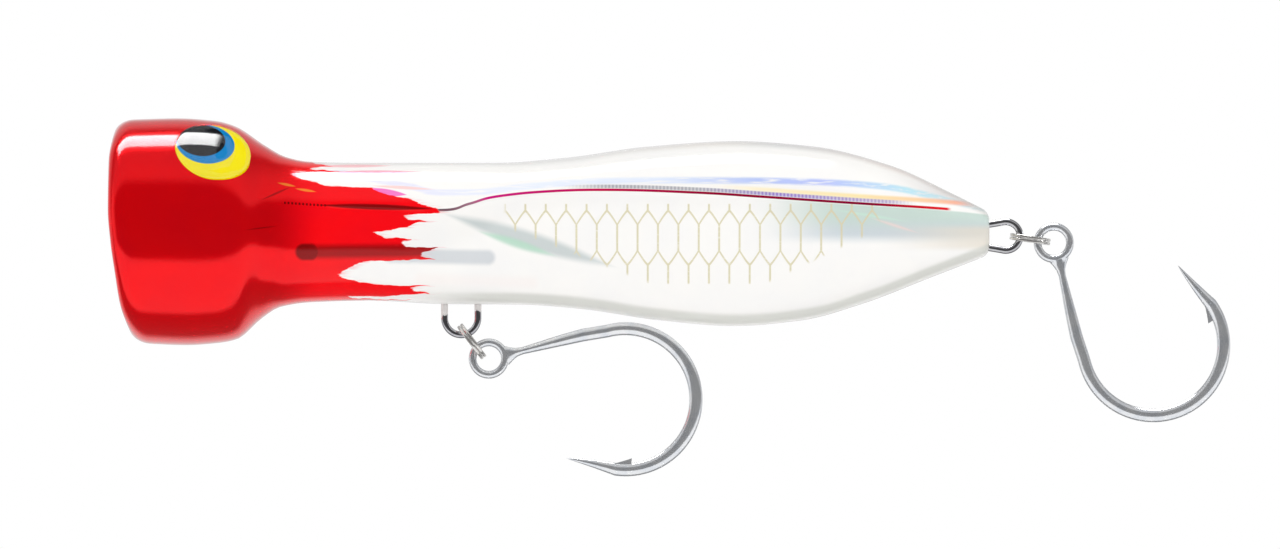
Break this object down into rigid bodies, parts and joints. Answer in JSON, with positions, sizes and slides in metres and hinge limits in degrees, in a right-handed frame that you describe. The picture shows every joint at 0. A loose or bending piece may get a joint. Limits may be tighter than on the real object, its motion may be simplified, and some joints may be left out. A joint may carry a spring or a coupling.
{
  "type": "topwater popper lure",
  "caption": "Floating fishing lure with a cupped mouth, hollow two-half body, through wire, split rings and single hooks on a belly hanger and a tail loop.",
  "frame": {"origin": "centre of the line tie, the wire eye inside the mouth that the fishing line is tied to", "axes": "+X from the nose to the tail, +Y to the lure's right side, +Z to its back"},
  "size_m": [0.1911, 0.0364, 0.0611],
  "materials": {
    "body_paint": "clear-coated pearl white with a holographic flank and a red head",
    "eye_print": "printed disc, yellow and blue with a black pupil",
    "eye_lens": "clear domed resin",
    "wire_steel": "drawn stainless wire",
    "ballast_lead": "dull cast metal",
    "rattle_tube_plastic": "translucent amber tube",
    "ball_steel": "polished steel ball",
    "ring_steel": "flattened stainless wire",
    "hook_steel": "bright tinned, forged flat at the bend"
  },
  "bodies": {
    "root": {"body_shell_left": "body_paint", "body_shell_right": "body_paint", "eye_disc_left": "eye_print", "eye_disc_right": "eye_print", "eye_lens_left": "eye_lens", "eye_lens_right": "eye_lens", "through_wire": "wire_steel", "belly_hanger": "wire_steel", "tail_ballast": "ballast_lead", "rattle_tube": "rattle_tube_plastic", "rattle_tube_plug": "rattle_tube_plastic"},
    "rattle_balls": {"rattle_ball_1": "ball_steel", "rattle_ball_2": "ball_steel", "rattle_ball_3": "ball_steel"},
    "belly_ring": {"belly_split_ring": "ring_steel"},
    "belly_hook": {"belly_hook": "hook_steel"},
    "tail_ring": {"tail_split_ring": "ring_steel"},
    "tail_hook": {"tail_hook": "hook_steel"}
  },
  "joints": [
    {"name": "rattle_roll", "type": "slide", "parent": "root", "child": "rattle_balls", "axis": [1, 0, 0], "range_m": [0, 0.0158]},
    {"name": "belly_ring_swing", "type": "hinge", "parent": "root", "child": "belly_ring", "pos_m": [0.05075, 0, -0.01742], "axis": [1, 0, 0], "range_deg": [-70, 70]},
    {"name": "belly_hook_swing", "type": "hinge", "parent": "belly_ring", "child": "belly_hook", "pos_m": [0.05359, 0, -0.02118], "axis": [0, 1, 0], "range_deg": [0, 145]},
    {"name": "tail_ring_swing", "type": "hinge", "parent": "root", "child": "tail_ring", "pos_m": [0.14525, 0, -0.0007], "axis": [0, 0, 1], "range_deg": [-75, 75]},
    {"name": "tail_hook_swing", "type": "hinge", "parent": "tail_ring", "child": "tail_hook", "pos_m": [0.15008, 0, -0.00168], "axis": [0, 1, 0], "range_deg": [-130, 75]}
  ]
}
